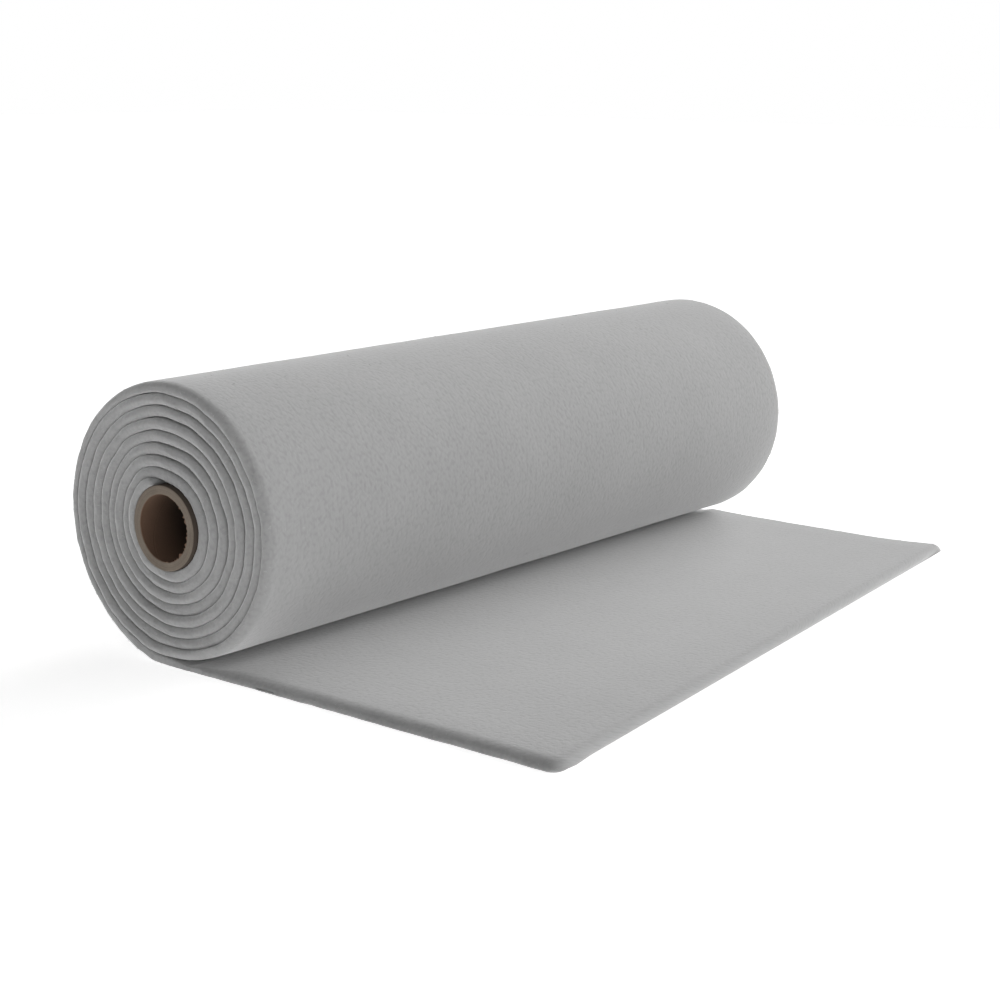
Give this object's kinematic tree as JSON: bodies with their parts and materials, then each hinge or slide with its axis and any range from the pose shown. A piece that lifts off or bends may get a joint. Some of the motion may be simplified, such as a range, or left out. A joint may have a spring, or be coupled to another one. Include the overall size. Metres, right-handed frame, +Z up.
{
  "type": "carpet roll on a cardboard core",
  "caption": "Thick soft felt carpet wound in a spiral on a cardboard core, with its outer end unrolled flat on the floor.",
  "frame": {"origin": "on the floor, under the middle of the roll's axis", "axes": "+Z up, +Y along the roll's axis, +X towards the loose end"},
  "size_m": [0.4731, 0.708, 0.2163],
  "materials": {
    "carpet": "matt needle-punched felt, mid grey",
    "core": "matt kraft cardboard"
  },
  "bodies": {
    "root": {"carpet": "carpet", "core": "core"}
  },
  "joints": []
}
